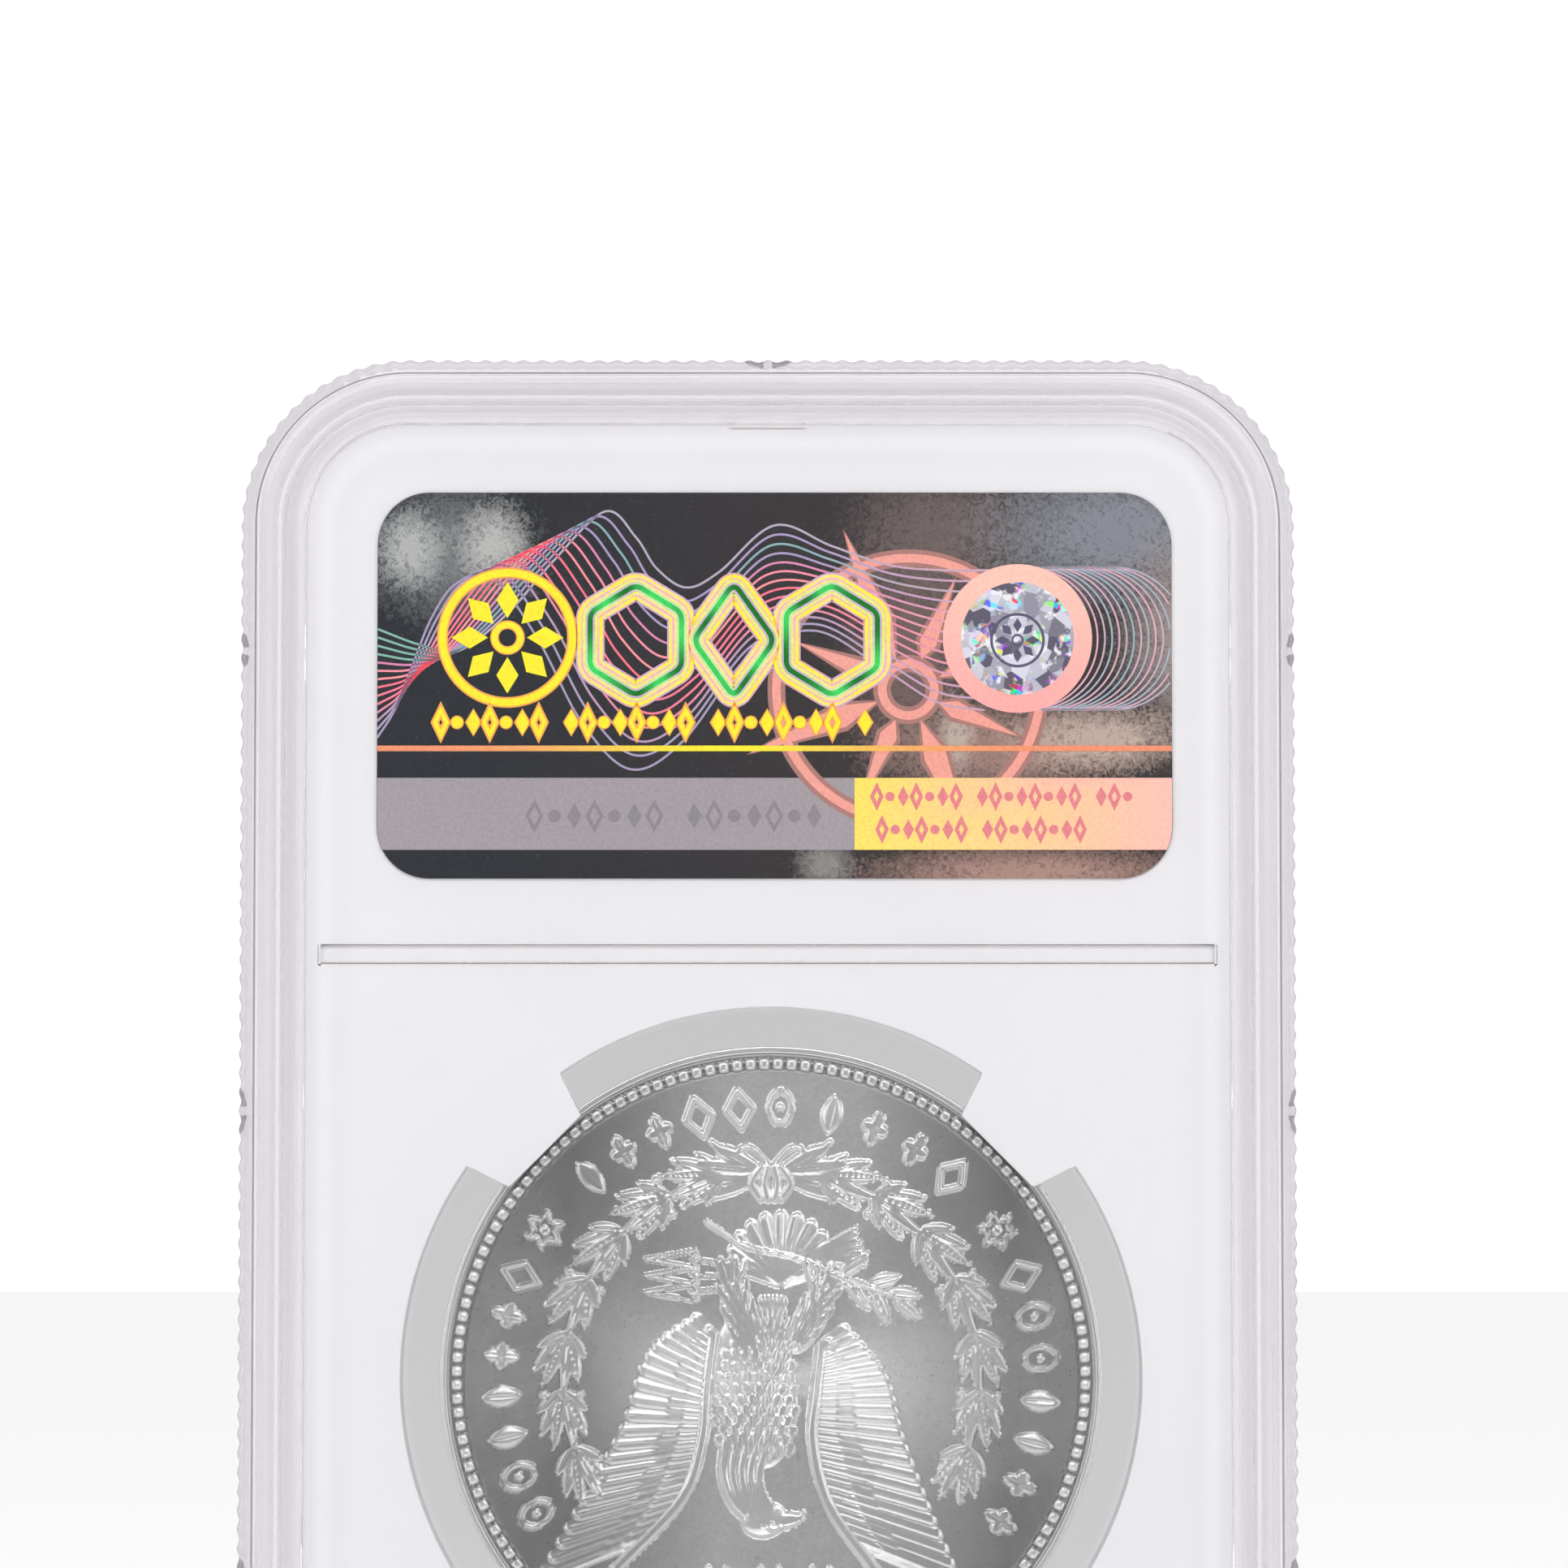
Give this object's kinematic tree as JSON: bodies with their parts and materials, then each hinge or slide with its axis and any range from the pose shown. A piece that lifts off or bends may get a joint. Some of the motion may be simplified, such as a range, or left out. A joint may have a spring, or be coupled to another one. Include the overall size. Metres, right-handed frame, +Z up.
{
  "type": "graded coin slab",
  "caption": "Sealed clear plastic holder with scalloped grip edge, white core gripping a large silver coin on four prongs, and a foil security sticker over its back.",
  "frame": {"origin": "centre of the bottom edge, at the middle of the holder's thickness", "axes": "+Z up the holder towards the label end, +Y out of the front (label side), so the back with the foil sticker faces -Y; +X is to the right when looking at the back"},
  "size_m": [0.0608, 0.0084, 0.0868],
  "materials": {
    "clear_plastic": "clear moulded polystyrene, polished windows, faint mauve tint in the thick rim",
    "white_plastic": "satin white moulded plastic with soft rounded edges",
    "silver": "struck silver with radial mint lustre and bright worn high points",
    "paper": "printed card, faint fibre",
    "foil": "dark glossy diffractive foil with pebbled surface and coloured linework"
  },
  "bodies": {
    "root": {"back_shell": "clear_plastic", "front_shell": "clear_plastic", "core": "white_plastic", "coin": "silver", "grade_label": "paper", "foil_sticker": "foil"}
  },
  "joints": []
}
